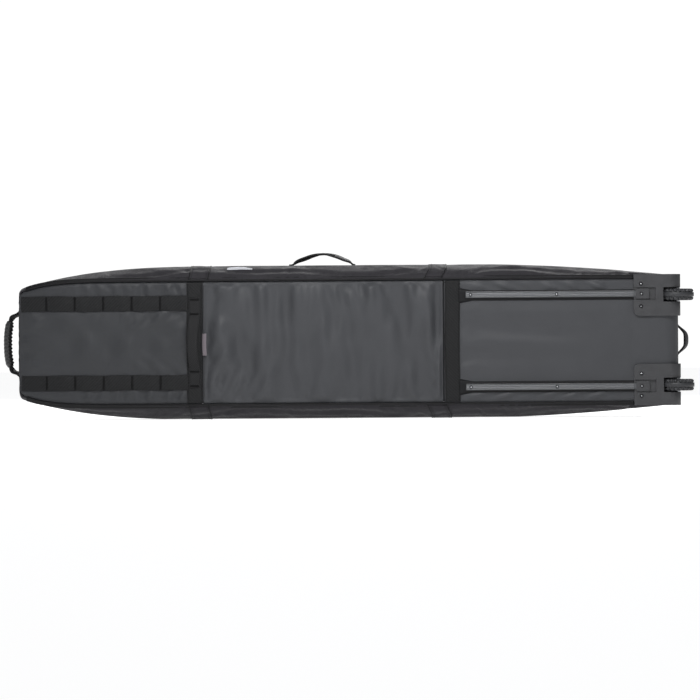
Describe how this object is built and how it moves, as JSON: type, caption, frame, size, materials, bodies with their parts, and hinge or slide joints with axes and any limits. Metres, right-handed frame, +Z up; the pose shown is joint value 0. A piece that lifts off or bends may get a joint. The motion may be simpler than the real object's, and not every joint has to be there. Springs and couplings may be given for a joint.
{
  "type": "snowboard bag",
  "caption": "Long padded snowboard bag with a wheeled base, skid rails, a zipped lid, webbing straps and carry handles, standing on its long edge.",
  "frame": {"origin": "centre of the bag's footprint when it stands on its lower long edge", "axes": "+X along the bag towards the wheels, -Y out of the wheeled base, +Y out of the lid, +Z up towards the side carry handle"},
  "size_m": [1.734, 0.2484, 0.4131],
  "materials": {
    "coated_fabric": "satin",
    "woven_fabric": "matt",
    "webbing": "matt",
    "piping": "matt",
    "lining": "matt",
    "foam": "matt",
    "board": "matt",
    "rail": "satin",
    "housing": "matt",
    "tyre": "satin",
    "hub": "satin",
    "steel": "satin",
    "dark_metal": "satin",
    "grip": "matt",
    "buckle": "satin",
    "tag": "matt"
  },
  "bodies": {
    "bag": {"base_board": "board", "base_foam": "foam", "base_lining": "lining", "base_loop_sewn_ends": "webbing", "base_middle_panel": "coated_fabric", "base_nose_panel": "coated_fabric", "base_piping_lower": "piping", "base_piping_upper": "piping", "base_wheel_end_panel": "coated_fabric", "cross_webbing_nose": "webbing", "cross_webbing_wheel": "webbing", "housing_backing_plates": "board", "housing_screws": "dark_metal", "inner_buckles": "buckle", "inner_straps": "webbing", "lid_side_border": "woven_fabric", "lid_side_piping": "piping", "lower_side_panel": "woven_fabric", "nose_end_panel": "woven_fabric", "nose_handle_feet": "webbing", "nose_webbing_lower": "webbing", "nose_webbing_upper": "webbing", "rail_clamp_plates": "housing", "rail_rivets": "dark_metal", "seam_tag": "tag", "side_handle_feet": "webbing", "side_patches": "woven_fabric", "skid_rail_lower": "rail", "skid_rail_upper": "rail", "tail_end_panel": "woven_fabric", "tail_loop_feet": "webbing", "upper_side_panel": "woven_fabric", "webbing_bar_tacks": "webbing", "wheel_axle_nuts": "steel", "wheel_housing_lower": "housing", "wheel_housing_upper": "housing", "wheel_lower_axle": "steel", "wheel_side_washers": "steel", "wheel_upper_axle": "steel", "zip_tape_fixed": "piping"},
    "wheel_upper": {"wheel_upper_tyre": "tyre", "wheel_upper_hub": "hub", "wheel_upper_bearings": "steel", "wheel_upper_spacer": "steel"},
    "wheel_lower": {"wheel_lower_tyre": "tyre", "wheel_lower_hub": "hub", "wheel_lower_bearings": "steel", "wheel_lower_spacer": "steel"},
    "lid": {"lid_panel": "woven_fabric", "lid_foam": "foam", "zip_tape_lid": "piping"},
    "zip_slider_a": {"zip_slider_a": "dark_metal"},
    "zip_slider_b": {"zip_slider_b": "dark_metal"},
    "zip_pull_a": {"zip_pull_a": "dark_metal"},
    "zip_pull_b": {"zip_pull_b": "dark_metal"},
    "side_handle": {"side_handle_strap": "webbing"},
    "nose_handle": {"nose_handle_strap": "webbing", "nose_handle_grip": "grip"},
    "tail_loop": {"tail_loop": "webbing"},
    "base_loop": {"base_carry_loop": "webbing"}
  },
  "joints": [
    {"name": "wheel_upper_spin", "type": "hinge", "parent": "bag", "child": "wheel_upper", "pos_m": [0.821, -0.088, 0.305], "axis": [0, 0, 1], "continuous": true},
    {"name": "wheel_lower_spin", "type": "hinge", "parent": "bag", "child": "wheel_lower", "pos_m": [0.821, -0.088, 0.079], "axis": [0, 0, 1], "continuous": true},
    {"name": "lid_open", "type": "hinge", "parent": "bag", "child": "lid", "pos_m": [0, 0.101, 0.332], "axis": [1, 0, 0], "range_deg": [0, 150]},
    {"name": "zip_slider_a_slide", "type": "slide", "parent": "lid", "child": "zip_slider_a", "axis": [1, 0, 0], "range_m": [-0.24, 0]},
    {"name": "zip_slider_b_slide", "type": "slide", "parent": "lid", "child": "zip_slider_b", "axis": [1, 0, 0], "range_m": [0, 0.29]},
    {"name": "zip_pull_a_swing", "type": "hinge", "parent": "zip_slider_a", "child": "zip_pull_a", "pos_m": [-0.03, 0.1054, 0.038], "axis": [1, 0, 0], "range_deg": [0, 140]},
    {"name": "zip_pull_b_swing", "type": "hinge", "parent": "zip_slider_b", "child": "zip_pull_b", "pos_m": [0.02, 0.1054, 0.038], "axis": [1, 0, 0], "range_deg": [0, 140]},
    {"name": "side_handle_swing", "type": "hinge", "parent": "bag", "child": "side_handle", "pos_m": [-0.068, 0, 0.394], "axis": [1, 0, 0], "range_deg": [-35, 35]},
    {"name": "nose_handle_swing", "type": "hinge", "parent": "bag", "child": "nose_handle", "pos_m": [-0.839, 0, 0.192], "axis": [0, 0, 1], "range_deg": [-40, 40]},
    {"name": "tail_loop_flex", "type": "hinge", "parent": "bag", "child": "tail_loop", "pos_m": [0.8295, 0, 0.192], "axis": [0, 0, 1], "range_deg": [-20, 20]},
    {"name": "base_loop_flex", "type": "hinge", "parent": "bag", "child": "base_loop", "pos_m": [-0.389, -0.113, 0.192], "axis": [0, 0, 1], "range_deg": [-12, 12]}
  ]
}
